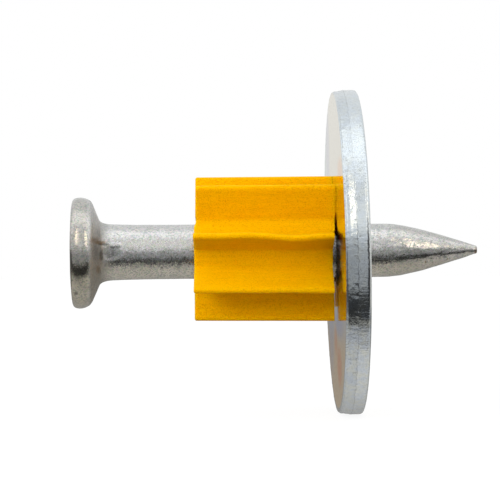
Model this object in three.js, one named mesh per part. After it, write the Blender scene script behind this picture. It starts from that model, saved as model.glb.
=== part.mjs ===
// A powder-actuated drive pin with its washer and guide flute, ready to load into a tool.
//
// Millimetres, +Z up. The pin lies along +X: the origin is the centre of the head's driving face,
// and the point is at the far end of +X. Three separate pieces share the shank:
//   drive_pin    the hardened nail: flat head, conical underside, plain shank and ogive point
//   guide_flute  a moulded plastic sleeve with eight fins, which centres the pin in a tool's barrel
//   washer       a blanked steel disc, which spreads the head's load over the work
// The flute and the washer can slide along the shank, so each bore runs clear of it.
//
// Each piece is drawn about its own +Z axis, in a group that is turned to lie along +X.

import * as THREE from "three";

// Drive pin: 0.300 inch head, and a shank a little over 0.145 inch with its plating. Heights are
// distances from the driving face.
const PIN_LENGTH = 27.7;
const HEAD_RADIUS = 3.81;
const HEAD_FACE_RADIUS = 3.3; // the flat that the piston strikes
const RIM_TOP = 0.46; // the rim is at its widest from here
const RIM_CURL = 0.8; // to about here
const RIM_FOOT = 1.1;
const RIM_FOOT_RADIUS = 3.58;
const CONE_TOP = 1.26; // the conical underside of the head
const CONE_TOP_RADIUS = 3.34;
const CONE_FOOT = 1.735;
const CONE_FOOT_RADIUS = 2.25;
const NECK_CORNER = 1.9; // where the cone's line meets the shank
const NECK_END = 2.75; // the fillet under the head runs out here
const SHANK_RADIUS = 1.875;
const POINT_START = 21.3;
const POINT_START_RADIUS = 1.8; // the shank draws down a little before the point
const POINT_HALF_ANGLE = THREE.MathUtils.degToRad(18.3);
const TIP_START = 27.42;
const TIP_RADIUS = 0.3;

// Washer: 7/8 inch across.
const WASHER_RADIUS = 11.1;
const WASHER_THICKNESS = 1.62;
const WASHER_BORE_RADIUS = 1.95;
const FRACTURE_DEPTH = 0.69; // how much of the rim tore instead of shearing
const FRACTURE_LOSS = 0.16; // how far the torn edge falls inside the sheared one
const ROLL_DEPTH = 0.23; // rounded edge on the side the punch entered
const ROLL_WIDTH = 0.3;
const EDGE_BREAK = 0.05;
const WASHER_START = 18.03; // the face towards the head, along the pin

// Guide flute.
const FLUTE_START = 8.35;
const FLUTE_TO_WASHER = 0.25;
const FLUTE_LENGTH = WASHER_START - FLUTE_TO_WASHER - FLUTE_START;
const FLUTE_BORE_RADIUS = 1.935;
const FIN_COUNT = 8;
const FIN_RADIUS = 4.985; // at the end towards the head
const FIN_RADIUS_GROWTH = 0.05; // mould draft over the whole length
const FIN_LAND = 0.4; // width of a fin's outer edge
const FIN_CORNER = 0.12;
const FLOOR_RADIUS = 2.7; // axis to the flat floor between two fins
const FLOOR_HALF_WIDTH = 0.58;
const ROOT_FILLET = 0.12;
const FIRST_FIN_ANGLE = THREE.MathUtils.degToRad(36); // from +Y towards +Z
const END_BREAK = 0.1; // rounded edge at both ends

// Facets round each turned or bored surface, and points along each curve.
const PIN_FACETS = 64;
const WASHER_FACETS = 96;
const BORE_FACETS = 48;
const CURVE_POINTS = 6;
const OGIVE_POINTS = 12;

const dullZinc = new THREE.MeshStandardMaterial({ color: 0xb3b1aa, roughness: 0.42, metalness: 0.9 });
const brightZinc = new THREE.MeshStandardMaterial({ color: 0xc3c9cc, roughness: 0.25, metalness: 0.95 });
const yellowPlastic = new THREE.MeshStandardMaterial({ color: 0xf8b400, roughness: 0.5, metalness: 0 });

// A point of a turned outline.
function at(radius, height) {
  return new THREE.Vector2(radius, height);
}

// Takes an outline from its last point round one bend to end, turning towards control.
function bendTo(outline, control, end, divisions = CURVE_POINTS) {
  const curve = new THREE.QuadraticBezierCurve(outline.at(-1), control, end);
  outline.push(...curve.getPoints(divisions).slice(1));
}

// A solid turned about +Z.
function turned(outline, facets) {
  return new THREE.LatheGeometry(outline, facets).rotateX(Math.PI / 2);
}

function drivePinGeometry() {
  const ogiveRun = (POINT_START_RADIUS - TIP_RADIUS) / Math.tan(POINT_HALF_ANGLE);
  const outline = [at(0, 0), at(HEAD_FACE_RADIUS, 0)];
  bendTo(outline, at(HEAD_RADIUS, 0), at(HEAD_RADIUS, RIM_TOP));
  bendTo(outline, at(HEAD_RADIUS, RIM_CURL), at(RIM_FOOT_RADIUS, RIM_FOOT));
  outline.push(at(CONE_TOP_RADIUS, CONE_TOP));
  outline.push(at(CONE_FOOT_RADIUS, CONE_FOOT));
  bendTo(outline, at(SHANK_RADIUS, NECK_CORNER), at(SHANK_RADIUS, NECK_END));
  outline.push(at(POINT_START_RADIUS, POINT_START));
  const ogiveControl = at(POINT_START_RADIUS, TIP_START - ogiveRun);
  bendTo(outline, ogiveControl, at(TIP_RADIUS, TIP_START), OGIVE_POINTS);
  bendTo(outline, at(TIP_RADIUS, PIN_LENGTH), at(0, PIN_LENGTH));
  return turned(outline, PIN_FACETS);
}

function washerGeometry() {
  const tornRadius = WASHER_RADIUS - FRACTURE_LOSS;
  const outline = [
    at(WASHER_BORE_RADIUS, EDGE_BREAK),
    at(WASHER_BORE_RADIUS + EDGE_BREAK, 0),
    at(tornRadius - EDGE_BREAK, 0),
    at(tornRadius, EDGE_BREAK),
    at(WASHER_RADIUS, FRACTURE_DEPTH),
    at(WASHER_RADIUS, WASHER_THICKNESS - ROLL_DEPTH),
  ];
  const rollEnd = at(WASHER_RADIUS - ROLL_WIDTH, WASHER_THICKNESS);
  bendTo(outline, at(WASHER_RADIUS, WASHER_THICKNESS), rollEnd);
  outline.push(
    at(WASHER_BORE_RADIUS + EDGE_BREAK, WASHER_THICKNESS),
    at(WASHER_BORE_RADIUS, WASHER_THICKNESS - EDGE_BREAK),
    at(WASHER_BORE_RADIUS, EDGE_BREAK),
  );
  return turned(outline, WASHER_FACETS);
}

// The four corners of one fin, going round the flute in the direction of rising angle.
function finCorners(angle) {
  const outward = new THREE.Vector2(Math.cos(angle), Math.sin(angle));
  const across = new THREE.Vector2(-outward.y, outward.x);
  const corner = (out, side, round) => ({
    point: outward.clone().multiplyScalar(out).addScaledVector(across, side),
    round,
  });
  // The floors on either side of the fin are centred half a pitch away, and end at its roots.
  const floorEndRadius = Math.hypot(FLOOR_RADIUS, FLOOR_HALF_WIDTH);
  const floorEndAngle = Math.PI / FIN_COUNT - Math.atan2(FLOOR_HALF_WIDTH, FLOOR_RADIUS);
  const rootOut = floorEndRadius * Math.cos(floorEndAngle);
  const rootSide = floorEndRadius * Math.sin(floorEndAngle);
  return [
    corner(rootOut, -rootSide, ROOT_FILLET),
    corner(FIN_RADIUS, -FIN_LAND / 2, FIN_CORNER),
    corner(FIN_RADIUS, FIN_LAND / 2, FIN_CORNER),
    corner(rootOut, rootSide, ROOT_FILLET),
  ];
}

// A closed shape through corners, each one rounded over its own distance.
function roundedShape(corners) {
  const shape = new THREE.Shape();
  const towards = (from, to, distance) =>
    to.clone().sub(from).setLength(distance).add(from);
  corners.forEach(({ point, round }, i) => {
    const before = corners.at(i - 1).point;
    const after = corners[(i + 1) % corners.length].point;
    const start = towards(point, before, round);
    const end = towards(point, after, round);
    if (i === 0) shape.moveTo(start.x, start.y);
    else shape.lineTo(start.x, start.y);
    shape.quadraticCurveTo(point.x, point.y, end.x, end.y);
  });
  shape.closePath();
  return shape;
}

// Widens the fins evenly with height, and leaves the bore straight.
function addDraft(geometry) {
  const midWall = (FLUTE_BORE_RADIUS + FLOOR_RADIUS) / 2;
  const position = geometry.attributes.position;
  for (let i = 0; i < position.count; i++) {
    const x = position.getX(i);
    const y = position.getY(i);
    if (Math.hypot(x, y) < midWall) continue;
    const height = position.getZ(i) / FLUTE_LENGTH;
    const scale = 1 + (FIN_RADIUS_GROWTH / FIN_RADIUS) * height;
    position.setXY(i, x * scale, y * scale);
  }
  return geometry;
}

function boreOutline() {
  const points = [];
  for (let i = 0; i <= BORE_FACETS; i++) {
    const angle = (-i * 2 * Math.PI) / BORE_FACETS;
    points.push(at(Math.cos(angle), Math.sin(angle)).multiplyScalar(FLUTE_BORE_RADIUS));
  }
  return new THREE.Path(points);
}

function guideFluteGeometry() {
  const corners = [];
  for (let fin = 0; fin < FIN_COUNT; fin++) {
    corners.push(...finCorners(FIRST_FIN_ANGLE + (fin * 2 * Math.PI) / FIN_COUNT));
  }
  const shape = roundedShape(corners);
  shape.holes.push(boreOutline());
  const sleeve = new THREE.ExtrudeGeometry(shape, {
    depth: FLUTE_LENGTH - 2 * END_BREAK,
    bevelThickness: END_BREAK,
    bevelSize: END_BREAK,
    bevelOffset: -END_BREAK,
    bevelSegments: 2,
    curveSegments: 3,
  });
  return addDraft(sleeve.translate(0, 0, END_BREAK));
}

// One piece, drawn about +Z, moved along the pin to where it starts.
function piece(name, geometry, material, start) {
  const mesh = new THREE.Mesh(geometry, material);
  mesh.name = name;
  mesh.position.z = start;
  return mesh;
}

const fastener = new THREE.Group();
fastener.add(
  piece("drive_pin", drivePinGeometry(), dullZinc, 0),
  piece("guide_flute", guideFluteGeometry(), yellowPlastic, FLUTE_START),
  piece("washer", washerGeometry(), brightZinc, WASHER_START),
);
// Turns each piece's own x, y and z onto +Y, +Z and +X.
const turn = new THREE.Matrix4().makeBasis(
  new THREE.Vector3(0, 1, 0),
  new THREE.Vector3(0, 0, 1),
  new THREE.Vector3(1, 0, 0),
);
fastener.quaternion.setFromRotationMatrix(turn);

const part = new THREE.Group();
part.add(fastener);

export default part;
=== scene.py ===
"""The looks of a powder-actuated drive pin with its guide flute and washer, for Blender 4.5.

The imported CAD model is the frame: metres, the pin along +X from its head to its point, +Z up. Each
of its three nodes is replaced by a finer mesh of the same size that rides on the same body. Lengths
below are in millimetres until a mesh is made, and heights are measured along the pin from the
head's driving face.
"""

import math

import bpy
import numpy as np
from mathutils import Matrix, Vector, noise


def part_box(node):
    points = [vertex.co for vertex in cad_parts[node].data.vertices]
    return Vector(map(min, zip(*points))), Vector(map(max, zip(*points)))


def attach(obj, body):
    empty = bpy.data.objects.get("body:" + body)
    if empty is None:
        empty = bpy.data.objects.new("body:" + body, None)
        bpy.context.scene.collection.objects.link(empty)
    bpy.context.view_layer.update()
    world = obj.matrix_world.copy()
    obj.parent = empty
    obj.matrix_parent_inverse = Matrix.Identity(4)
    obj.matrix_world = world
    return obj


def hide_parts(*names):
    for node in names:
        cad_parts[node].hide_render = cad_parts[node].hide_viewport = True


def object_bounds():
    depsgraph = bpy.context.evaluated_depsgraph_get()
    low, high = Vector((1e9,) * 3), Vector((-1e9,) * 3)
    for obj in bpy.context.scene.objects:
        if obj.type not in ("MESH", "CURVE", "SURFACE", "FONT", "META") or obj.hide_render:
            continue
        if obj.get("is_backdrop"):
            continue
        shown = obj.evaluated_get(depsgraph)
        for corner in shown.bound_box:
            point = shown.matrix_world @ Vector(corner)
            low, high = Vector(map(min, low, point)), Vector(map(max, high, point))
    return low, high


MM = 0.001


def box_mm(node):
    """A CAD node's lowest and highest corners, in millimetres."""
    low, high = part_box(node)
    return np.array(low) / MM, np.array(high) / MM


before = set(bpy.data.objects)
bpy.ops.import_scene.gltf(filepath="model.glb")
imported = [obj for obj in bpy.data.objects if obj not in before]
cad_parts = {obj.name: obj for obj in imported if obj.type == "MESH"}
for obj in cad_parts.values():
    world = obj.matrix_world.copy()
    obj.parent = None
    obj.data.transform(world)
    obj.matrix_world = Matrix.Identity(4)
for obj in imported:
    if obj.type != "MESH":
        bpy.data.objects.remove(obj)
cad_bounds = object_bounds()
PIN_HIGH = box_mm("drive_pin")[1]
FLUTE_LOW, FLUTE_HIGH = box_mm("guide_flute")
WASHER_LOW, WASHER_HIGH = box_mm("washer")

# Drive pin.
PIN_LENGTH = PIN_HIGH[0]
HEAD_RADIUS = PIN_HIGH[2]
HEAD_FACE_RADIUS = 3.48
RIM_TOP = 0.5
RIM_CURL = 0.88
RIM_FOOT = 1.2
RIM_FOOT_RADIUS = 3.56
CONE_TOP = 1.34
CONE_TOP_RADIUS = 3.34
CONE_FOOT = 1.78
CONE_FOOT_RADIUS = 2.25
NECK_CORNER = 1.95
NECK_END = 2.9
NECK_END_RADIUS = 1.92
SHANK_START = 5.5
SHANK_RADIUS = 1.872
HEAD_SHIFT = -0.06
HEAD_DROP = 0.03
# The head was forged a little crooked: at these heights, how far its near side and its top stand
# towards the point.
HEAD_HEIGHTS = (0, RIM_TOP, RIM_FOOT, CONE_FOOT, 3.4)
NEAR_SIDE_SKEW = (0.12, 0.34, 0.36, 0.25, 0)
TOP_SKEW = (0, 0.02, 0.04, 0, 0)
DENT_PLACE = (2.64, -1.95, -0.1)  # something pressed a flat here, and raised a lip over it
DENT_SIZE = (0.62, 0.8, 0.40)
DENT_DEPTH = 0.06
LIP_PLACE = (2.95, -1.9, 0.5)
LIP_SIZE = (0.5, 0.8, 0.16)
LIP_HEIGHT = 0.05
POINT_START = 21.3
POINT_START_RADIUS = 1.83
POINT_HALF_ANGLE = math.radians(18.9)
TIP_RADIUS = 0.28
TIP_START = PIN_LENGTH - 0.15
PIN_COLUMNS = 200

# Washer. The punch entered on the side of the point, so that side's edge is rounded. The rim is
# sheared smooth next to it, and torn over the rest of the thickness.
WASHER_RADIUS = WASHER_HIGH[2]
WASHER_THICKNESS = WASHER_HIGH[0] - WASHER_LOW[0]
WASHER_BORE_RADIUS = 2.05
TORN_BAND = 0.69
TORN_GROWTH = 0.08  # the torn band is that much wider from the middle down
TORN_LOSS = 0.15  # how far inside the full radius the torn band starts, at the face to the head
TORN_STEP = 0.015  # and how far inside it ends, where the sheared band starts
ROLL_DEPTH = 0.23
ROLL_WIDTH = 0.34
EDGE_BREAK = 0.05
# A groove in the rim beside the rounded edge, GROOVE_REACH long above and below GROOVE_MIDDLE.
GROOVE_PLACE = WASHER_THICKNESS - ROLL_DEPTH - 0.03
GROOVE_DEPTH = 0.028
GROOVE_WIDTH = 0.012
GROOVE_MIDDLE = 0.8
GROOVE_REACH = 3.2
# How rough the rim is at these heights above the pin's centre line, compared with its top.
RIM_HEIGHTS = (-7, -5, -2.5, -0.9, -0.2, 2.4, 3.2)
RIM_RELIEF = (1, 0.3, 0.3, 0.9, 0.4, 0.4, 1)
WASHER_COLUMNS = 1150
WASHER_DROP = 0.115
WASHER_SHIFT = -0.12
WASHER_LEAN = math.radians(-0.73)
WASHER_TURN = math.radians(1.1)

# Guide flute. Its bore is loose enough for it to sit off the pin's centre line. Fins are counted
# from the first one, in the direction from +Y towards +Z.
FLUTE_LENGTH = FLUTE_HIGH[0] - FLUTE_LOW[0]
FLUTE_BORE_RADIUS = 2.15
FLUTE_LIFT = 0.19
FLUTE_LEAN = math.radians(0.22)
FIN_COUNT = 8
FIN_RADIUS = 4.985
FIN_RADIUS_GROWTH = 0.05
FIN_LAND = 0.4
FIN_CORNER = 0.28
FLOOR_RADIUS = 2.7
FLOOR_HALF_WIDTH = 0.58
ROOT_FILLET = 0.16
FIRST_FIN_ANGLE = math.radians(36)
HEAD_END_ROUND = 0.13
WASHER_END_ROUND = 0.015
FIN_SWAY = (0, 0, -0.3, -0.09, -0.05, 0, 0, 0)  # how far each fin's edge stands towards the next
BENT_FIN = 3  # its edge was also bent towards the next, over a part of its length
BEND_HEIGHT = 7.0
BEND_LENGTH = 1.7
BEND_DEPTH = 0.18
# How far the ends stand out, at even steps of angle from the first fin. The end towards the washer
# lies flat against the washer's leaning face, but for a few fins that were cut shorter.
HEAD_END_REACH = (0, 0, -0.1, 0.02, 0, 0.03, 0, 0)
WASHER_END_REACH = (0, 0, 0, 0, 0, -0.09, -0.28, -0.28, -0.3, -0.22, -0.14, -0.14, -0.14, -0.1, 0, 0)
WASHER_END_PLACE = 0.13
WASHER_END_SLOPE = (-0.0192, -0.0165)


# ---------------------------------------------------------------- outlines and meshes


class Outline:
    """Points along a path, added one stretch at a time."""

    def __init__(self, x, y):
        self.points = [np.array((x, y), float)]

    def line(self, x, y, count=1):
        """A straight stretch to (x, y) in that many steps."""
        start = self.points[-1]
        end = np.array((x, y), float)
        self.points += [start + (end - start) * t for t in np.linspace(0, 1, count + 1)[1:]]

    def bend(self, control, end, count):
        """A quadratic curve that leaves towards control and arrives at end, in that many steps."""
        start, control, end = self.points[-1], np.array(control, float), np.array(end, float)
        for t in np.linspace(0, 1, count + 1)[1:]:
            self.points.append((1 - t) ** 2 * start + 2 * t * (1 - t) * control + t * t * end)

    def array(self):
        return np.array(self.points)


def path_normals(points, closed):
    """Unit normals on the right-hand side of a path in the plane."""
    if closed:
        along = np.roll(points, -1, axis=0) - np.roll(points, 1, axis=0)
    else:
        along = np.gradient(points, axis=0)
    normals = np.stack([along[:, 1], -along[:, 0]], axis=1)
    return normals / np.linalg.norm(normals, axis=1, keepdims=True)


def turned(outline, facets, closed=False):
    """Rows of points about the X axis from (height, radius) points, and their outward normals."""
    angles = np.linspace(0, 2 * math.pi, facets, endpoint=False)
    round_x = np.stack([np.zeros(facets), np.cos(angles), np.sin(angles)], axis=1)
    normals = -path_normals(outline, closed)
    along = np.array((1.0, 0.0, 0.0))
    rows = outline[:, :1, None] * along + outline[:, 1:, None] * round_x
    outward = normals[:, :1, None] * along + normals[:, 1:, None] * round_x
    return rows, outward


def mesh_from_rows(name, rows, closed):
    """A smooth closed mesh from rows of points that each run once round.

    When closed, the last row joins the first. Otherwise a fan closes each end.
    """
    row_count, columns = rows.shape[:2]
    vertices = rows.reshape(-1, 3) * MM
    index = np.arange(row_count * columns).reshape(row_count, columns)
    lower = index if closed else index[:-1]
    upper = np.roll(index, -1, axis=0) if closed else index[1:]
    around = [lower, upper, np.roll(upper, -1, axis=1), np.roll(lower, -1, axis=1)]
    faces = np.stack(around, axis=2).reshape(-1, 4).tolist()
    if not closed:
        first, last = len(vertices), len(vertices) + 1
        ends = np.stack([rows[0].mean(axis=0), rows[-1].mean(axis=0)]) * MM
        vertices = np.concatenate([vertices, ends])
        start_row, end_row = index[0], index[-1]
        faces += [[first, a, b] for a, b in zip(start_row, np.roll(start_row, -1))]
        faces += [[last, b, a] for a, b in zip(end_row, np.roll(end_row, -1))]
    mesh = bpy.data.meshes.new(name)
    mesh.from_pydata(vertices.tolist(), [], faces)
    mesh.shade_smooth()
    mesh.update()
    piece = bpy.data.objects.new(name, mesh)
    bpy.context.scene.collection.objects.link(piece)
    return piece


def roughness_of(points, size, octaves=3, offset=0.0):
    """Fractal noise from about -1 to 1 at points, with bumps of that size along each axis."""
    scaled = points.reshape(-1, 3) / np.array(size, float) + offset
    values = [noise.fractal(p, 1.0, 2.0, octaves) for p in scaled.tolist()]
    return np.array(values).reshape(points.shape[:-1])


def smooth_step(low, high, values):
    """Smoothly from 0 to 1 as values go from low to high, which may be the smaller one."""
    t = np.clip((values - low) / (high - low), 0, 1)
    return t * t * (3 - 2 * t)


# ---------------------------------------------------------------- drive pin


def pin_outline():
    """The pin's half section from the middle of the driving face to the tip."""
    ogive_run = (POINT_START_RADIUS - TIP_RADIUS) / math.tan(POINT_HALF_ANGLE)
    path = Outline(0, 0.1)
    path.line(0, HEAD_FACE_RADIUS, 26)
    path.bend((0, HEAD_RADIUS), (RIM_TOP, HEAD_RADIUS), 14)
    path.bend((RIM_CURL, HEAD_RADIUS), (RIM_FOOT, RIM_FOOT_RADIUS), 10)
    path.line(CONE_TOP, CONE_TOP_RADIUS, 4)
    path.line(CONE_FOOT, CONE_FOOT_RADIUS, 14)
    path.bend((NECK_CORNER, NECK_END_RADIUS), (NECK_END, NECK_END_RADIUS), 14)
    path.bend((NECK_END + 1, SHANK_RADIUS), (SHANK_START, SHANK_RADIUS), 24)
    path.line(POINT_START, POINT_START_RADIUS, 150)
    path.bend((TIP_START - ogive_run, POINT_START_RADIUS), (TIP_START, TIP_RADIUS), 70)
    path.bend((PIN_LENGTH, TIP_RADIUS), (PIN_LENGTH, TIP_RADIUS / 2), 8)
    path.line(PIN_LENGTH, 0.03, 4)
    return path.array()


def drive_pin():
    """The forged pin, with its crooked head, the dent in its neck and a hammered point."""
    rows, outward = turned(pin_outline(), PIN_COLUMNS)
    x, y, z = np.moveaxis(rows.copy(), -1, 0)
    radius = np.maximum(np.hypot(y, z), HEAD_FACE_RADIUS * smooth_step(CONE_FOOT, 0, x))
    on_head = 1 - smooth_step(RIM_TOP, NECK_END, x)
    crooked = -y * np.interp(x, HEAD_HEIGHTS, NEAR_SIDE_SKEW) + z * np.interp(x, HEAD_HEIGHTS, TOP_SKEW)
    rows[..., 0] += crooked / radius + HEAD_SHIFT * on_head
    rows[..., 2] -= HEAD_DROP * on_head
    height = rows[..., 0]

    def spot(place, size):
        """1 at that place, and falling to 0 at about that size around it."""
        offset = (rows - np.array(place)) / np.array(size)
        return np.exp(-((offset**2).sum(axis=-1) ** 2))

    on_point = smooth_step(POINT_START - 1, POINT_START + 2, height)
    relief = 0.008 * roughness_of(rows, (1.6, 0.8, 0.8))
    relief += 0.002 * roughness_of(rows, (0.4, 0.3, 0.3), offset=7.0)
    relief += 0.018 * on_point * roughness_of(rows, (0.6, 0.35, 0.35), offset=17.0)
    relief += LIP_HEIGHT * spot(LIP_PLACE, LIP_SIZE) - DENT_DEPTH * spot(DENT_PLACE, DENT_SIZE)
    return mesh_from_rows("pin_forging", rows + outward * relief[..., None], closed=False)


# ---------------------------------------------------------------- washer


def washer_outline():
    """The washer's section: the face to the head, the rim, the face to the point and the bore."""
    inner, outer = WASHER_BORE_RADIUS, WASHER_RADIUS
    back, front = 0.0, WASHER_THICKNESS
    path = Outline(back + EDGE_BREAK, inner)
    path.bend((back, inner), (back, inner + EDGE_BREAK), 2)
    path.line(back, inner + 2 * EDGE_BREAK)
    path.line(back, outer - TORN_LOSS - 3 * EDGE_BREAK, 6)
    path.line(back, outer - TORN_LOSS - EDGE_BREAK, 2)
    path.bend((back, outer - TORN_LOSS), (back + EDGE_BREAK, outer - TORN_LOSS), 5)
    path.line(TORN_BAND * 0.17, outer - TORN_LOSS * 0.6, 3)
    path.line(TORN_BAND * 0.47, outer - TORN_LOSS * 0.54, 5)
    path.line(TORN_BAND - 0.03, outer - TORN_STEP, 10)
    path.line(TORN_BAND, outer, 2)
    path.line(GROOVE_PLACE - 0.04, outer, 12)
    path.line(GROOVE_PLACE, outer, 2)
    path.line(front - ROLL_DEPTH, outer, 2)
    path.bend((front, outer), (front, outer - ROLL_WIDTH), 12)
    path.line(front, outer - ROLL_WIDTH - EDGE_BREAK)
    path.line(front, inner + 2 * EDGE_BREAK, 6)
    path.line(front, inner + EDGE_BREAK)
    path.bend((front, inner), (front - EDGE_BREAK, inner), 2)
    path.line(back + EDGE_BREAK, inner, 6)
    return path.array()[:-1]


def washer_relief(rows):
    """How far the surface stands out from the plain section, and how much of the rim each point is."""
    height = rows[..., 0]
    above_middle = rows[..., 2]
    radius = np.hypot(rows[..., 1], rows[..., 2])
    on_rim = smooth_step(WASHER_RADIUS - 0.24, WASHER_RADIUS - 0.17, radius)
    sheared = smooth_step(TORN_BAND - 0.02, TORN_BAND + 0.04, height)
    torn = on_rim * (1 - sheared)
    across = rows * np.array((0.0, 1.0, 1.0))
    relief = 0.013 * torn * roughness_of(rows, (0.3, 0.22, 0.22), 3)
    relief += 0.010 * torn * roughness_of(rows, (0.9, 0.8, 0.8), 2, offset=5.0)
    relief += 0.012 * on_rim * sheared * roughness_of(across, (1, 0.9, 0.9), 2, offset=3.0)
    relief += 0.003 * on_rim * sheared * roughness_of(across, (1, 0.2, 0.2), 2, offset=21.0)
    relief += 0.007 * on_rim * sheared * roughness_of(rows, (0.4, 0.35, 0.35), 3, offset=9.0)
    relief *= np.interp(above_middle, RIM_HEIGHTS, RIM_RELIEF)
    relief += 0.004 * roughness_of(rows, (2.5, 2.5, 2.5), 2, offset=11.0) * (1 - on_rim)
    groove = on_rim * np.exp(-(((height - GROOVE_PLACE) / GROOVE_WIDTH) ** 2))
    relief -= GROOVE_DEPTH * groove * np.exp(-(((above_middle - GROOVE_MIDDLE) / GROOVE_REACH) ** 4))
    return relief, on_rim


def washer():
    """The blanked disc, leaning a little. Each point keeps how far through the sheet it lies."""
    rows, outward = turned(washer_outline(), WASHER_COLUMNS, closed=True)
    height = rows[..., 0]
    across = rows * np.array((0.0, 1.0, 1.0))
    relief, on_rim = washer_relief(rows)
    rows = rows + outward * relief[..., None]
    # The division between the torn and the sheared band wanders.
    near_division = np.exp(-((height - TORN_BAND) / 0.2) ** 2) * on_rim
    growth = TORN_GROWTH * smooth_step(5, 2, rows[..., 2])
    wander = 0.06 * roughness_of(across, (1, 0.4, 0.4), 3, offset=15.0)
    rows[..., 0] += near_division * (growth + wander)
    piece = mesh_from_rows("washer_disc", rows, closed=True)
    thickness = piece.data.attributes.new("thickness", "FLOAT", "POINT")
    thickness.data.foreach_set("value", height.ravel())
    middle = Matrix.Translation((WASHER_THICKNESS / 2 * MM, 0, 0))
    lean = Matrix.Rotation(WASHER_LEAN, 4, "Y") @ Matrix.Rotation(WASHER_TURN, 4, "Z")
    place = Matrix.Translation(((WASHER_LOW[0] + WASHER_SHIFT) * MM, 0, -WASHER_DROP * MM))
    piece.data.transform(place @ middle @ lean @ middle.inverted())
    return piece


# ---------------------------------------------------------------- guide flute


def fin_path(angle, sway):
    """One fin from the middle of the floor before it to the middle of the floor after it.

    Its edge stands to the side by sway, towards the next fin.
    """
    half_pitch = math.pi / FIN_COUNT
    root_radius = math.hypot(FLOOR_RADIUS, FLOOR_HALF_WIDTH)
    root_angle = half_pitch - math.atan2(FLOOR_HALF_WIDTH, FLOOR_RADIUS)

    def towards(start, end, distance):
        return start + (end - start) * distance / np.linalg.norm(end - start)

    def flank(side):
        """From the middle of the fin's edge to the middle of the floor on side 1 or -1."""
        middle = np.array((FIN_RADIUS, sway))
        tip = middle + np.array((0, side * FIN_LAND / 2))
        root = root_radius * np.array((math.cos(root_angle), side * math.sin(root_angle)))
        floor = FLOOR_RADIUS * np.array((math.cos(half_pitch), side * math.sin(half_pitch)))
        path = Outline(*middle)
        path.bend(tip, towards(tip, root, FIN_CORNER), 8)
        path.line(*towards(root, tip, ROOT_FILLET), 16)
        path.bend(root, towards(root, floor, ROOT_FILLET), 5)
        path.line(*floor, 4)
        return path.array()

    whole = np.concatenate([flank(-1)[::-1], flank(1)[1:-1]])
    turn = np.array(((math.cos(angle), math.sin(angle)), (-math.sin(angle), math.cos(angle))))
    return whole @ turn


def flute_profile(height):
    """The flute's section at a height above the end towards the head, and its inward normals."""
    paths = []
    for fin in range(FIN_COUNT):
        sway = FIN_SWAY[fin] + 0.03 * noise.noise((fin * 3.7, height / 2.5, 0))
        if fin == BENT_FIN:
            sway += BEND_DEPTH * math.exp(-(((height - BEND_HEIGHT) / BEND_LENGTH) ** 2))
        paths.append(fin_path(FIRST_FIN_ANGLE + fin * 2 * math.pi / FIN_COUNT, sway))
    profile = np.concatenate(paths)
    profile *= 1 + FIN_RADIUS_GROWTH / FIN_RADIUS * height / FLUTE_LENGTH
    return profile, -path_normals(profile, closed=True)


def end_reach(reaches, angles):
    """How far the end stands out at each angle, from how far it does at even steps of angle."""
    count = len(reaches)
    turns = (angles - FIRST_FIN_ANGLE) / (2 * math.pi) * count % count
    before = np.floor(turns).astype(int) % count
    share = smooth_step(0.25, 0.45, turns - np.floor(turns))
    reaches = np.array(reaches)
    return reaches[before] * (1 - share) + reaches[(before + 1) % count] * share


def guide_flute():
    """The moulding: rings of points up its outside, over one end, down its bore and over the other."""
    start = flute_profile(0)[0]
    angles = np.arctan2(start[:, 1], start[:, 0])
    bore = FLUTE_BORE_RADIUS * np.stack([np.cos(angles), np.sin(angles)], axis=1)
    head_reach = end_reach(HEAD_END_REACH, angles)
    washer_reach = WASHER_END_PLACE + end_reach(WASHER_END_REACH, angles)

    def ring(section, height):
        """A section at a height, moved along to suit how far the ends stand out."""
        share = height / FLUTE_LENGTH
        far_reach = washer_reach + section @ np.array(WASHER_END_SLOPE)
        heights = height - head_reach * (1 - share) + far_reach * share
        return np.concatenate([heights[:, None], section], axis=1)

    def skin(height, inset=0.0):
        """The outside at a height, moved inwards by inset."""
        profile, inward = flute_profile(height)
        return ring(profile + inward * inset, height)

    rows = []
    quarter = np.linspace(0, math.pi / 2, 6)
    for a in quarter[::-1]:
        rows.append(skin(HEAD_END_ROUND * (1 - math.sin(a)), HEAD_END_ROUND * (1 - math.cos(a))))
    for height in np.linspace(HEAD_END_ROUND, FLUTE_LENGTH - WASHER_END_ROUND, 64)[1:-1]:
        rows.append(skin(height))
    for a in quarter:
        height = FLUTE_LENGTH - WASHER_END_ROUND * (1 - math.sin(a))
        rows.append(skin(height, WASHER_END_ROUND * (1 - math.cos(a))))
    far_edge = rows[-1][:, 1:]
    for t in np.linspace(0, 1, 8)[1:]:
        rows.append(ring(far_edge * (1 - t) + bore * t, FLUTE_LENGTH))
    for height in np.linspace(FLUTE_LENGTH, 0, 12)[1:-1]:
        rows.append(ring(bore, height))
    near_edge = rows[0][:, 1:]
    for t in np.linspace(1, 0, 8)[:-1]:
        rows.append(ring(near_edge * (1 - t) + bore * t, 0))
    piece = mesh_from_rows("flute_moulding", np.array(rows), closed=True)
    middle = Matrix.Translation((FLUTE_LENGTH / 2 * MM, 0, 0))
    lean = middle @ Matrix.Rotation(FLUTE_LEAN, 4, "Y") @ middle.inverted()
    piece.data.transform(Matrix.Translation((FLUTE_LOW[0] * MM, 0, FLUTE_LIFT * MM)) @ lean)
    return piece


# ---------------------------------------------------------------- materials


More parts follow.
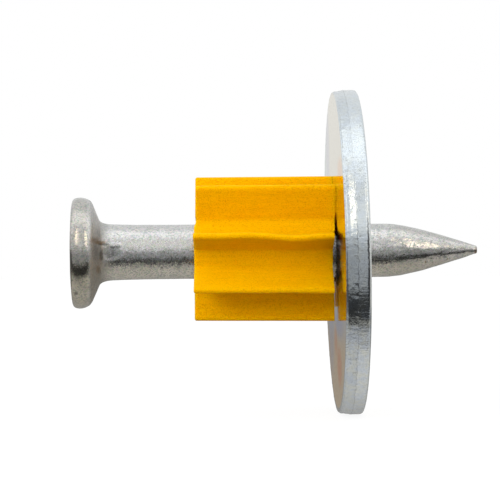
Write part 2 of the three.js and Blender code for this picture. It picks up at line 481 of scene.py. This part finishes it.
class Shader:
    """Short calls that build one node tree."""

    def __init__(self, owner):
        owner.use_nodes = True
        self.tree = owner.node_tree
        self.tree.nodes.clear()

    def node(self, kind, inputs=(), **settings):
        """A new node of that kind, with its inputs linked or set."""
        made = self.tree.nodes.new(kind)
        for name, value in settings.items():
            setattr(made, name, value)
        for key, value in dict(inputs).items():
            self.feed(made.inputs[key], value)
        return made

    def feed(self, socket, value):
        """Link the value to the socket, or set it where it is a plain one."""
        if isinstance(value, bpy.types.NodeSocket):
            self.tree.links.new(value, socket)
        else:
            socket.default_value = value

    def place_mm(self, stretch=(1, 1, 1)):
        """The point's place in the frame in millimetres, times stretch."""
        place = self.node("ShaderNodeTexCoord").outputs["Object"]
        scale = tuple(s / MM for s in stretch)
        scaled = self.node("ShaderNodeVectorMath", {0: place, 1: scale}, operation="MULTIPLY")
        return scaled.outputs[0]

    def noise(self, place, scale, detail=3.0, roughness=0.55):
        inputs = {"Vector": place, "Scale": scale, "Detail": detail, "Roughness": roughness}
        return self.node("ShaderNodeTexNoise", inputs).outputs["Fac"]

    def math(self, operation, a, b=0.0, clamp=False):
        made = self.node("ShaderNodeMath", {0: a, 1: b}, operation=operation, use_clamp=clamp)
        return made.outputs[0]

    def between(self, value, low, high, to_low=0.0, to_high=1.0):
        """Smoothly from to_low to to_high as value goes from low to high."""
        inputs = {"Value": value, "From Min": low, "From Max": high, "To Min": to_low, "To Max": to_high}
        return self.node("ShaderNodeMapRange", inputs, interpolation_type="SMOOTHSTEP").outputs[0]

    def mix(self, factor, a, b, blend="MIX"):
        made = self.node("ShaderNodeMix", data_type="RGBA", blend_type=blend)
        for socket, value in ((made.inputs[0], factor), (made.inputs[6], a), (made.inputs[7], b)):
            self.feed(socket, value)
        return made.outputs[2]

    def bump(self, height, distance_mm, strength=1.0, normal=None):
        inputs = {"Height": height, "Distance": distance_mm * MM, "Strength": strength}
        if normal is not None:
            inputs["Normal"] = normal
        return self.node("ShaderNodeBump", inputs).outputs["Normal"]

    def grains(self, place, scale):
        """A random colour for each small grain."""
        return self.node("ShaderNodeTexVoronoi", {"Vector": place, "Scale": scale}).outputs["Color"]

    def tilted(self, normal, random, amount):
        """The normal, tilted by an amount in each grain's own direction."""
        centred = self.node("ShaderNodeVectorMath", {0: random, 1: (0.5, 0.5, 0.5)}, operation="SUBTRACT")
        inputs = {0: centred.outputs[0], 3: amount}
        offset = self.node("ShaderNodeVectorMath", inputs, operation="SCALE")
        added = self.node("ShaderNodeVectorMath", {0: normal, 1: offset.outputs[0]}, operation="ADD")
        return self.node("ShaderNodeVectorMath", {0: added.outputs[0]}, operation="NORMALIZE").outputs[0]

    def line(self, value, middle, width):
        """1 where value is middle, falling to 0 at width to either side."""
        away = self.math("ABSOLUTE", self.math("SUBTRACT", value, middle))
        return self.between(away, 0.3 * width, width, 1.0, 0.0)

    def ellipse(self, place, centre, size, ragged=0.5):
        """1 inside a ragged spot of that size at centre, both in millimetres, and 0 outside."""
        offset = self.node("ShaderNodeVectorMath", {0: place, 1: centre}, operation="SUBTRACT").outputs[0]
        scaled = self.node("ShaderNodeVectorMath", {0: offset, 1: size}, operation="DIVIDE").outputs[0]
        distance = self.node("ShaderNodeVectorMath", {0: scaled}, operation="LENGTH").outputs["Value"]
        wobble = self.math("MULTIPLY", self.noise(place, 5.0), 2 * ragged)
        return self.between(self.math("ADD", distance, wobble), 0.4 + ragged, 1.3 + ragged, 1.0, 0.0)

    def surface(self, **inputs):
        named = {key.replace("_", " "): value for key, value in inputs.items()}
        made = self.node("ShaderNodeBsdfPrincipled", named)
        self.node("ShaderNodeOutputMaterial", {"Surface": made.outputs[0]})


def colour(red, green, blue):
    return (red, green, blue, 1.0)


# Marks on the side of the pin that faces the camera: centre, size, strength and colour. The first is
# painted shade on the cone by the rim's foot; the rest are grime and rust.
RUST = colour(0.14, 0.085, 0.035)
GRIME_AND_PAINTED_SHADE = colour(0.05, 0.045, 0.04)
PIN_MARKS = [
    # Painted shade on the cone under the head.
    ((1.72, -2.6, 0.05), (0.25, 1.5, 0.75), 0.35, GRIME_AND_PAINTED_SHADE),
    ((1.66, -2.6, 0.80), (0.30, 1.5, 0.26), 0.6, RUST),
    ((1.98, -2.1, 0.66), (0.40, 1.5, 0.14), 0.75, RUST),
    ((2.26, -1.9, 0.55), (0.42, 1.5, 0.09), 0.7, GRIME_AND_PAINTED_SHADE),
    ((2.06, -1.9, -0.2), (0.13, 1.5, 0.42), 0.7, GRIME_AND_PAINTED_SHADE),
    ((2.65, -1.9, -0.12), (0.45, 1.5, 0.33), 0.4, GRIME_AND_PAINTED_SHADE),
    ((1.85, -2.1, -1.15), (0.14, 1.5, 0.3), 0.5, RUST),
    ((0.36, -2.7, -2.73), (0.14, 1.5, 0.14), 0.6, GRIME_AND_PAINTED_SHADE),
    ((6.13, -1.5, -1.08), (0.09, 1.5, 0.06), 0.7, GRIME_AND_PAINTED_SHADE),
    ((21.0, -1.7, -0.70), (0.55, 1.5, 0.04), 0.7, GRIME_AND_PAINTED_SHADE),
    ((24.07, -1.1, -0.82), (0.07, 1.5, 0.08), 0.8, RUST),
    ((25.6, -0.6, -0.62), (0.06, 1.5, 0.06), 0.8, RUST),
    ((27.6, -0.1, -0.1), (0.16, 0.3, 0.25), 0.8, RUST),
]


def pin_tone(s, place, x, z, random, grain, on_rim, dull_and_shaded_under_head):
    """The pin's colour: cloudy zinc in fine grains, painted darker under the head as shade, with painted
    warm shade on its low side and with its marks.
    """
    cloud = s.noise(place, 0.9, 3.0)
    pits = s.between(s.noise(place, 4.0, 2.0, 0.5), 0.62, 0.70)
    light = s.mix(s.between(cloud, 0.35, 0.65), colour(0.56, 0.555, 0.54), colour(0.49, 0.485, 0.47))
    tone = s.mix(s.between(grain, 0.0, 0.6), colour(0.38, 0.375, 0.36), light)
    tone = s.mix(0.07, tone, random)
    tone = s.mix(s.math("MULTIPLY", pits, 0.35), tone, colour(0.16, 0.155, 0.145))
    # Painted shade, a little warm, on the pin's low side.
    shaded_low_side = s.between(z, -0.2, -1.2)
    tone = s.mix(shaded_low_side, tone, colour(0.85, 0.825, 0.745), blend="MULTIPLY")
    tone = s.mix(on_rim, tone, colour(0.83, 0.81, 0.77), blend="MULTIPLY")
    tone = s.mix(s.between(x, 20.5, 23.0), tone, colour(0.85, 0.84, 0.82), blend="MULTIPLY")
    # Painted shade under the head, over the cone and the corner of the neck, lighter towards the top.
    tone = s.mix(s.math("MULTIPLY", dull_and_shaded_under_head, 0.6), tone, colour(0.21, 0.205, 0.195))
    for centre, size, strength, mark in PIN_MARKS:
        tone = s.mix(s.math("MULTIPLY", s.ellipse(place, centre, size), strength), tone, mark)
    return tone


def dull_zinc():
    """Mechanically plated zinc: fine bright grains, cloudy, and rougher and less metallic in the corner
    of the neck, where shade is painted too.
    """
    material = bpy.data.materials.new("dull_zinc")
    s = Shader(material)
    place = s.place_mm()
    x, y, z = s.node("ShaderNodeSeparateXYZ", {0: place}).outputs
    along_head = s.math("ADD", x, s.math("MULTIPLY", y, 0.1))
    on_rim = s.between(along_head, RIM_CURL - 0.1, RIM_FOOT - 0.1, 1.0, 0.0)
    leaving_head = s.between(x, CONE_FOOT, NECK_END, 1.0, 0.0)
    dull_and_shaded_under_head = s.math("MULTIPLY", s.between(along_head, RIM_CURL, RIM_FOOT), leaving_head)
    dull_and_shaded_under_head = s.math("MULTIPLY", dull_and_shaded_under_head, s.between(z, 0.8, 2.6, 1.0, 0.5))
    on_point = s.math("MULTIPLY", s.between(x, POINT_START, 22.5), s.between(x, 24.0, 26.0, 1.0, 0.5))

    random = s.grains(place, 11.0)
    grain = s.node("ShaderNodeSeparateXYZ", {0: random}).outputs[0]
    fine = s.noise(place, 14.0, 2.0, 0.6)

    smoother = s.math("MAXIMUM", on_rim, s.math("MULTIPLY", on_point, 0.8))
    roughness = s.between(grain, 0.0, 1.0, 0.33, 0.18)
    roughness = s.math("MULTIPLY", roughness, s.between(smoother, 0.0, 1.0, 1.0, 0.75))
    roughness = s.math("ADD", roughness, s.math("MULTIPLY", dull_and_shaded_under_head, 0.3))
    bumps = s.bump(fine, 0.008, s.between(smoother, 0.0, 1.0, 1.0, 0.4))
    s.surface(
        Base_Color=pin_tone(s, place, x, z, random, grain, on_rim, dull_and_shaded_under_head),
        Metallic=s.math("SUBTRACT", 1.0, s.math("MULTIPLY", dull_and_shaded_under_head, 0.5)),
        Roughness=roughness,
        Normal=s.tilted(bumps, random, s.between(smoother, 0.0, 1.0, 0.13, 0.05)),
    )
    return material


# Colours of the thin film on the washer's face: centre, size, strength and colour.
ORANGE_FILM = colour(1.0, 0.63, 0.40)
VIOLET_FILM = colour(0.70, 0.72, 0.90)
FILM_COLOURS = [
    ((17.9, 0.4, -6.2), (5.0, 1.7, 1.1), 0.7, ORANGE_FILM),
    ((17.9, -2.8, -7.8), (5.0, 2.4, 1.4), 0.9, ORANGE_FILM),
    ((17.9, -3.4, -5.0), (5.0, 4.0, 0.9), 0.6, VIOLET_FILM),
    ((17.9, 5.0, -6.0), (5.0, 3.0, 3.0), 0.5, VIOLET_FILM),
    ((17.9, 5.0, 7.0), (5.0, 2.0, 4.0), 0.3, VIOLET_FILM),
    ((17.9, -7.0, 5.2), (5.0, 2.5, 0.9), 0.3, ORANGE_FILM),
]
GAP_SHADE_PLACE = (17.7, -2.4, -0.4)  # painted shade, where the pin leaves the flute
GAP_SHADE_SIZE = (0.7, 3.4, 1.8)
GROOVE_SHADE_PLACE = (19.0, -11.0, -0.6)  # where the groove and the division of the rim are painted dark, as shade
GROOVE_SHADE_SIZE = (3.0, 3.0, 2.9)
JAG = 0.24  # those two dark lines wander over this much of the thickness


def rim_tone(s, place, z, thickness, sheared, mottle, calm):
    """The rim's colour: mottled and flecked, lighter in parts of its sheared band as painted reflection,
    with painted shade in its groove and along the division of its bands.
    """
    cloud = s.noise(place, 0.6, 3.0)
    tone = s.mix(s.between(cloud, 0.3, 0.7), colour(0.50, 0.54, 0.565), colour(0.56, 0.60, 0.62))
    tone = s.mix(s.between(mottle, 0.44, 0.30, 0.0, 0.75), tone, colour(0.33, 0.35, 0.36))
    # Painted reflection: the sheared band is lighter at some heights below the middle.
    painted_reflection = s.math("MULTIPLY", s.between(z, -5.6, -6.8), s.between(z, -10.4, -9.2))
    painted_reflection = s.math("ADD", painted_reflection, s.between(z, -4.8, -3.5, 0.0, 0.5))
    tone = s.mix(s.math("MULTIPLY", sheared, painted_reflection), tone, colour(0.61, 0.65, 0.67))
    tints = s.between(s.noise(place, 1.7, 4.0, 0.7), 0.38, 0.62)
    tint = s.mix(tints, colour(1.06, 1.03, 0.96), colour(0.97, 0.99, 1.06))
    tone = s.mix(s.between(z, -2.5, -4.5, 0.4, 1.0), tone, tint, blend="MULTIPLY")
    fleck = s.noise(place, 14.0, 2.0, 0.6)
    flecks = s.math("MULTIPLY", s.between(fleck, 0.50, 0.62), s.between(calm, 0.0, 1.0, 0.4, 0.12))
    tone = s.mix(flecks, tone, colour(0.25, 0.26, 0.27))
    dark = s.ellipse(place, GROOVE_SHADE_PLACE, GROOVE_SHADE_SIZE, 0.35)
    jagged = s.math("ADD", thickness, s.math("MULTIPLY", s.noise(place, 4.0, 4.0, 0.7), JAG))
    division = s.line(jagged, TORN_BAND + JAG / 2, 0.045)
    groove = s.line(jagged, GROOVE_PLACE + JAG / 2 + 0.07, 0.09)
    # Painted shade along the division of the bands, stronger lower down and in the shaded spot.
    division_shade = s.math("MAXIMUM", s.between(z, -4.5, -6.0, 0.15, 0.3), s.math("MULTIPLY", dark, 0.5))
    tone = s.mix(s.math("MULTIPLY", division, division_shade), tone, colour(0.16, 0.165, 0.17))
    # Painted shade in the groove, near black, in the shaded spot only.
    return s.mix(s.math("MULTIPLY", groove, dark), tone, colour(0.09, 0.09, 0.095))


def face_tone(s, place, y, z, gap_shade):
    """The faces' colour: a thin film, bluer to the far side and warmer to the foot, and painted shade
    where the pin leaves the flute.
    """
    tone = s.mix(s.between(y, 3.0, 9.0, 0.0, 0.5), colour(0.93, 0.92, 0.88), colour(0.74, 0.84, 0.92))
    tone = s.mix(s.between(z, 1.0, -5.0), tone, colour(0.86, 0.85, 0.85))
    tone = s.mix(s.between(z, -4.5, -7.0), tone, colour(0.98, 0.84, 0.65))
    for centre, size, strength, film in FILM_COLOURS:
        tone = s.mix(s.math("MULTIPLY", s.ellipse(place, centre, size), strength), tone, film)
    # Painted shade, near black, in the gap by the flute's end.
    return s.mix(s.between(gap_shade, 0.0, 0.3), tone, colour(0.03, 0.024, 0.012))


def washer_bumps(s, z, sheared, mottle, grain, calm, on_rim):
    """A fine grain all over, and on the rim mottling and lines through the thickness."""
    lines = s.noise(s.place_mm((0.08, 1, 1)), 9.0, 3.0, 0.6)
    lines = s.math("MULTIPLY", lines, s.between(sheared, 0.0, 1.0, 0.3, 1.5))
    rough_rim = s.math("MULTIPLY", s.math("ADD", s.math("MULTIPLY", mottle, 1.5), lines), on_rim)
    height = s.math("ADD", s.math("MULTIPLY", grain, 0.4), rough_rim)
    strength = s.math("ADD", s.between(z, -0.5, -2.2, 1.0, 0.65), s.between(z, -4.8, -6.2, 0.0, 0.9))
    strength = s.math("MULTIPLY", strength, s.between(calm, 0.0, 1.0, 1.0, 0.6))
    return s.bump(height, 0.009, strength)


def bright_zinc():
    """Clear passivated zinc: blue-white on the rim, with a thin film's colours on the faces."""
    material = bpy.data.materials.new("bright_zinc")
    s = Shader(material)
    place = s.place_mm()
    y, z = s.node("ShaderNodeSeparateXYZ", {0: place}).outputs[1:]
    radius = s.math("SQRT", s.math("ADD", s.math("MULTIPLY", y, y), s.math("MULTIPLY", z, z)))
    on_face = s.between(radius, WASHER_RADIUS - 0.45, WASHER_RADIUS - 0.2, 1.0, 0.0)
    on_rim = s.math("SUBTRACT", 1.0, on_face)
    thickness = s.node("ShaderNodeAttribute", attribute_name="thickness").outputs["Fac"]
    sheared = s.between(thickness, TORN_BAND - 0.02, TORN_BAND + 0.02)
    calm = s.math("MULTIPLY", s.between(z, 3.6, 2.6), s.between(z, -1.0, -0.2))
    mottle = s.noise(place, 4.5, 4.0, 0.7)
    grain = s.noise(place, 9.0, 3.0, 0.6)
    gap_shade = s.ellipse(place, GAP_SHADE_PLACE, GAP_SHADE_SIZE, 0.4)

    face = face_tone(s, place, y, z, gap_shade)
    tone = s.mix(on_face, rim_tone(s, place, z, thickness, sheared, mottle, calm), face)
    specks = s.between(s.noise(place, 5.0, 2.0, 0.5), 0.66, 0.72)
    tone = s.mix(s.math("MULTIPLY", specks, 0.5), tone, colour(0.22, 0.22, 0.21))
    # The rounded edge is painted light and less metallic over a part of its height, as a painted
    # reflection.
    painted_roll_reflection = s.math("MULTIPLY", s.between(z, 2.6, 0.8), s.between(z, -4.5, -3.0))
    painted_roll_reflection = s.math("MULTIPLY", painted_roll_reflection, s.between(thickness, GROOVE_PLACE + 0.11, GROOVE_PLACE + 0.15))
    painted_roll_reflection = s.math("MULTIPLY", painted_roll_reflection, on_rim)
    # Less metallic under the painted shade, so that it reflects little.
    metallic = s.between(gap_shade, 0.2, 1.0, 1.0, 0.1)
    s.surface(
        Base_Color=s.mix(s.math("MULTIPLY", painted_roll_reflection, 0.7), tone, colour(0.85, 0.88, 0.88)),
        Metallic=s.math("MULTIPLY", metallic, s.between(painted_roll_reflection, 0.0, 1.0, 1.0, 0.4)),
        Roughness=s.between(grain, 0.3, 0.7, 0.06, 0.12),
        Specular_IOR_Level=0.0,
        Specular_Tint=s.mix(on_face, colour(1, 1, 1), face),
        Normal=washer_bumps(s, z, sheared, mottle, grain, calm, on_rim),
    )
    return material


def yellow_plastic():
    """Moulded polyethylene: matt, slightly translucent, finely grained, with draw lines along it."""
    material = bpy.data.materials.new("yellow_plastic")
    s = Shader(material)
    place = s.place_mm()
    grain = s.noise(place, 13.0, 2.0, 0.6)
    streaks = s.noise(s.place_mm((0.05, 1, 1)), 5.0, 3.0, 0.6)
    draw_lines = s.noise(s.place_mm((0.03, 1, 1)), 7.0, 4.0, 0.75)
    tone = s.mix(s.between(streaks, 0.35, 0.65), colour(0.80, 0.41, 0.0), colour(0.85, 0.44, 0.0))
    tone = s.mix(s.between(draw_lines, 0.58, 0.70, 0.0, 0.35), tone, colour(0.55, 0.25, 0.0))
    tone = s.mix(s.between(grain, 0.46, 0.68, 0.0, 0.55), tone, colour(0.50, 0.22, 0.0))
    s.surface(
        Base_Color=tone,
        Roughness=0.55,
        Specular_IOR_Level=0.06,
        Specular_Tint=colour(1.0, 0.6, 0.1),
        Subsurface_Weight=0.5,
        Subsurface_Radius=(1.0, 0.6, 0.1),
        Subsurface_Scale=0.8 * MM,
        Normal=s.bump(s.math("ADD", streaks, s.math("MULTIPLY", grain, 3.0)), 0.017),
    )
    return material


# ---------------------------------------------------------------- studio

# Light by the angle above the line to the camera, in degrees: 0 is the camera's side, 90 is
# overhead, 180 is the backdrop, and -90 is the bench.
STUDIO_LIGHT = [
    (-180, 0.20, "warm"),
    (-166, 0.28, "warm"),
    (-140, 0.42, "warm"),
    (-110, 0.52, "warm"),
    (-80, 0.54, "warm"),
    (-66, 0.46, "warm"),
    (-53, 0.36, "warm"),
    (-50, 0.03, "cool"),
    (-27, 0.04, "cool"),
    (-25, 0.33, "cool"),
    (-14, 0.29, "cool"),
    (-8, 0.31, "cool"),
    (3, 0.35, "cool"),
    (12, 0.62, "cool"),
    (22, 0.80, "cool"),
    (34, 0.66, "cool"),
    (48, 0.72, "cool"),
    (62, 0.98, "cool"),
    (76, 1.2, "cool"),
    (92, 1.1, "cool"),
    (102, 0.88, "cool"),
    (110, 0.77, "cool"),
    (140, 0.72, "cool"),
    (165, 0.62, "cool"),
    (178, 0.53, "warm"),
]
STUDIO_LEVEL = 1.5
TINT = {"warm": (1.0, 0.985, 0.95), "cool": (0.98, 1.0, 1.01)}
SIDE_LIGHT = colour(1.1, 1.1, 1.1)
SIDE_SHADE = colour(0.12, 0.12, 0.12)
MATT_LIGHT = colour(1.05, 1.05, 1.05)  # what a matt surface gets from above and from below
MATT_SHADE = colour(0.38, 0.355, 0.29)
# Two tall lamps seen in the metal: degrees to the right of the camera, above it, across and high.
LAMPS = [
    (-19, 33, 12, 36),
    (37, 29, 14, 32),
]
LAMP_COLOUR = colour(3.2, 2.95, 2.5)


def direction_of(right, above):
    """The direction that is so many degrees to the right of the camera and above it."""
    right, above = math.radians(right), math.radians(above)
    return (math.sin(right) * math.cos(above), -math.cos(right) * math.cos(above), math.sin(above))


def light_by_angle(s, y, z):
    """STUDIO_LIGHT as a colour for the direction."""
    angle = s.math("ARCTAN2", z, s.math("MULTIPLY", y, -1.0))
    share = s.math("ADD", s.math("DIVIDE", angle, 2 * math.pi), 0.5)
    ramp = s.node("ShaderNodeValToRGB", {"Fac": share})
    elements = ramp.color_ramp.elements
    while len(elements) < len(STUDIO_LIGHT):
        elements.new(1.0)
    for element, (degrees, light, tint) in zip(elements, STUDIO_LIGHT):
        element.position = degrees / 360 + 0.5
        element.color = colour(*(STUDIO_LEVEL * light * t for t in TINT[tint]))
    return ramp.outputs["Color"]


def with_lamps(s, light, x, y, z):
    """The light with the lamps in it."""
    azimuth = s.math("ARCTAN2", x, s.math("MULTIPLY", y, -1.0))
    elevation = s.math("ARCSINE", z)
    for right, above, across, high in LAMPS:
        beside = s.math("ABSOLUTE", s.math("SUBTRACT", azimuth, math.radians(right)))
        over = s.math("ABSOLUTE", s.math("SUBTRACT", elevation, math.radians(above)))
        half_width, half_height = math.radians(across / 2), math.radians(high / 2)
        lit_across = s.between(beside, 0.7 * half_width, half_width, 1.0, 0.0)
        lit_high = s.between(over, 0.7 * half_height, half_height, 1.0, 0.0)
        light = s.mix(s.math("MULTIPLY", lit_across, lit_high), light, LAMP_COLOUR)
    return light


def studio_world():
    """White to the camera, one even light for matt surfaces, and the studio for everything else."""
    world = bpy.data.worlds.new("studio")
    s = Shader(world)
    direction = s.node("ShaderNodeTexCoord").outputs["Generated"]
    x, y, z = s.node("ShaderNodeSeparateXYZ", {0: direction}).outputs
    sideways = s.between(s.math("ABSOLUTE", x), 0.75, 0.97)
    side = s.mix(s.between(z, -0.05, 0.25), SIDE_SHADE, SIDE_LIGHT)
    light = with_lamps(s, s.mix(sideways, light_by_angle(s, y, z), side), x, y, z)
    path = s.node("ShaderNodeLightPath").outputs
    matt = s.mix(s.between(z, -0.5, 0.2), MATT_SHADE, MATT_LIGHT)
    light = s.mix(path["Is Diffuse Ray"], light, matt)
    shown = s.mix(path["Is Camera Ray"], light, colour(1, 1, 1))
    background = s.node("ShaderNodeBackground", {"Color": shown})
    s.node("ShaderNodeOutputWorld", {"Surface": background.outputs[0]})
    bpy.context.scene.world = world


def soft_light(name, right, above, energy, tint):
    """A soft light on the plastic that stays out of the metal."""
    data = bpy.data.lights.new(name, "AREA")
    data.size = 70 * MM
    data.energy = energy
    data.color = tint
    lamp = bpy.data.objects.new(name, data)
    aim = Vector((12, 0, 0)) * MM
    lamp.location = aim + Vector(direction_of(right, above)) * 150 * MM
    lamp.rotation_euler = (aim - lamp.location).to_track_quat("-Z", "Y").to_euler()
    lamp.visible_glossy = False
    bpy.context.scene.collection.objects.link(lamp)


def floor():
    """A pale floor that the washer stands on. It takes a faint shadow and gives no light."""
    size = 0.6
    level = (WASHER_LOW[2] - WASHER_DROP - 0.02) * MM
    corners = [(-size, -size, level), (size, -size, level), (size, size, level), (-size, size, level)]
    mesh = bpy.data.meshes.new("floor")
    mesh.from_pydata(corners, [], [(0, 1, 2, 3)])
    plane = bpy.data.objects.new("floor", mesh)
    bpy.context.scene.collection.objects.link(plane)
    material = bpy.data.materials.new("pale_floor")
    s = Shader(material)
    paper = s.node("ShaderNodeBsdfDiffuse", {"Color": colour(0.12, 0.12, 0.12)})
    glow = s.node("ShaderNodeEmission", {"Color": colour(1, 1, 1), "Strength": 0.9})
    both = s.node("ShaderNodeAddShader", {0: paper.outputs[0], 1: glow.outputs[0]})
    s.node("ShaderNodeOutputMaterial", {"Surface": both.outputs[0]})
    plane.data.materials.append(material)
    plane.visible_diffuse = False
    plane.visible_glossy = False
    plane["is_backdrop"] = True


CAMERA_DISTANCE = 125.0
CAMERA_PLACE = (12.11, -CAMERA_DISTANCE, 0.09)
CAMERA_ROLL = math.radians(0.46)
VIEW_WIDTH = 34.36  # what the picture spans at the pin's distance


def camera():
    """The photo's camera, level with the pin and facing +Y."""
    data = bpy.data.cameras.new("camera")
    data.lens = data.sensor_width * CAMERA_DISTANCE / VIEW_WIDTH
    data.clip_start = 0.01
    data.clip_end = 10
    seen_from = bpy.data.objects.new("camera", data)
    level = Matrix.Rotation(math.pi / 2, 4, "X")
    roll = Matrix.Rotation(CAMERA_ROLL, 4, "Y")
    seen_from.matrix_world = Matrix.Translation(Vector(CAMERA_PLACE) * MM) @ roll @ level
    bpy.context.scene.collection.objects.link(seen_from)
    bpy.context.scene.camera = seen_from


# ---------------------------------------------------------------- the object


def put_in_place(piece, body, node, material):
    """Paint the piece and let it stand for the CAD node, on that node's body."""
    piece.data.materials.append(material)
    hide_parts(node)
    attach(piece, body)


put_in_place(drive_pin(), "pin", "drive_pin", dull_zinc())
put_in_place(guide_flute(), "flute", "guide_flute", yellow_plastic())
put_in_place(washer(), "washer", "washer", bright_zinc())

studio_world()
soft_light("key", -38, 24, 0.108, (1.0, 1.0, 1.0))
soft_light("fill", -15, -15, 0.15, (1.0, 0.96, 0.85))
floor()
camera()
bpy.context.scene.view_settings.view_transform = "Standard"

sizes = {"cad": cad_bounds, "visual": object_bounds()}
{name: [list(corner) for corner in corners] for name, corners in sizes.items()}
